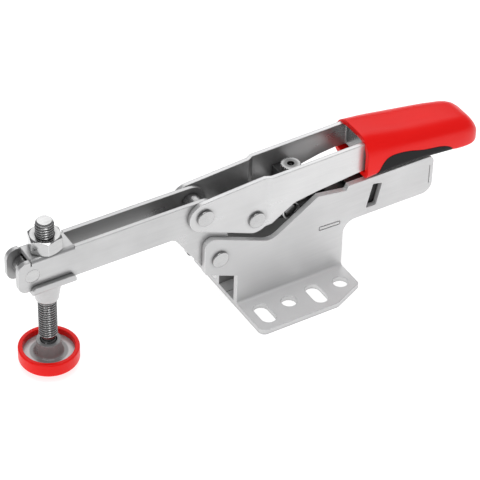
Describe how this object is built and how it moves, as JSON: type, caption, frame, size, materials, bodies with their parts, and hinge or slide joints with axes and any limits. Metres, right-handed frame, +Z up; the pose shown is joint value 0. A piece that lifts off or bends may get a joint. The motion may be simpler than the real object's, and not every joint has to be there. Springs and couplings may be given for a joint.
{
  "type": "toggle clamp",
  "caption": "Horizontal toggle clamp with a flanged base, open folded arm, swivel pad on an adjustable spindle, two-tone grip handle and a spring-loaded slide in the tail",
  "frame": {"origin": "centre of the four round fixing holes, on the underside of the base flanges", "axes": "+X from the pad towards the grip, +Y across the clamp, +Z up"},
  "size_m": [0.2288, 0.06, 0.0765],
  "materials": {
    "zinc_sheet": "satin zinc plated sheet",
    "zinc_fastener": "zinc plated",
    "rivet": "bright turned",
    "steel_block": "hardened, dull",
    "spring": "spring wire",
    "pad_plastic": "soft cap",
    "grip_red": "moulded, fine grain",
    "grip_black": "moulded, matt"
  },
  "bodies": {
    "base": {"base_side_left": "zinc_sheet", "base_side_right": "zinc_sheet", "wedge_guide": "steel_block", "arm_pivot_pin": "rivet", "arm_pivot_spacer": "rivet"},
    "arm": {"arm": "zinc_sheet", "arm_front_rivet": "rivet", "arm_front_spacer": "rivet", "handle_pivot_pin": "rivet", "handle_pivot_spacer": "rivet", "flanged_nut": "zinc_sheet", "spindle_nut": "zinc_fastener", "spindle": "zinc_fastener"},
    "foot_pad": {"pressure_plate": "zinc_fastener", "pad_cap": "pad_plastic"},
    "handle": {"handle_frame": "zinc_sheet", "grip_shell": "grip_red", "grip_insert": "grip_black", "link_pivot_pin": "rivet", "link_pivot_spacers": "rivet", "adjuster_block": "steel_block", "screw_spring": "spring"},
    "screw": {"adjusting_screw": "zinc_fastener"},
    "link": {"link_plates": "steel_block", "link_foot_pin": "rivet", "link_springs": "spring"},
    "slide": {"wedge_slide": "steel_block", "slide_spring": "spring"}
  },
  "joints": [
    {"name": "arm_open", "type": "hinge", "parent": "base", "child": "arm", "pos_m": [-0.0425, 0, 0.0312], "axis": [0, 1, 0], "range_deg": [0, 88]},
    {"name": "handle_turn", "type": "hinge", "parent": "arm", "child": "handle", "pos_m": [-0.04975, 0, 0.05595], "axis": [0, -1, 0], "range_deg": [0, 154.88]},
    {"name": "link_turn", "type": "hinge", "parent": "handle", "child": "link", "pos_m": [-0.0246, 0, 0.0451], "axis": [0, 1, 0], "range_deg": [0, 168.96]},
    {"name": "pad_tilt", "type": "hinge", "parent": "arm", "child": "foot_pad", "pos_m": [-0.1197, 0, 0.0104], "axis": [0, 1, 0], "range_deg": [-8, 8]},
    {"name": "screw_turn", "type": "hinge", "parent": "handle", "child": "screw", "pos_m": [-0.0032, 0, 0.055], "axis": [0, 0, 1], "continuous": true},
    {"name": "slide_travel", "type": "slide", "parent": "base", "child": "slide", "axis": [1, 0, 0], "range_m": [0, 0.0025], "stiffness_N_per_m": 2000, "springref_m": -0.0015, "deforming": ["slide_spring"]}
  ],
  "couplings": [
    {"joint": "handle_turn", "follows": "arm_open", "ratio": 1.76},
    {"joint": "link_turn", "follows": "arm_open", "ratio": 1.92}
  ]
}
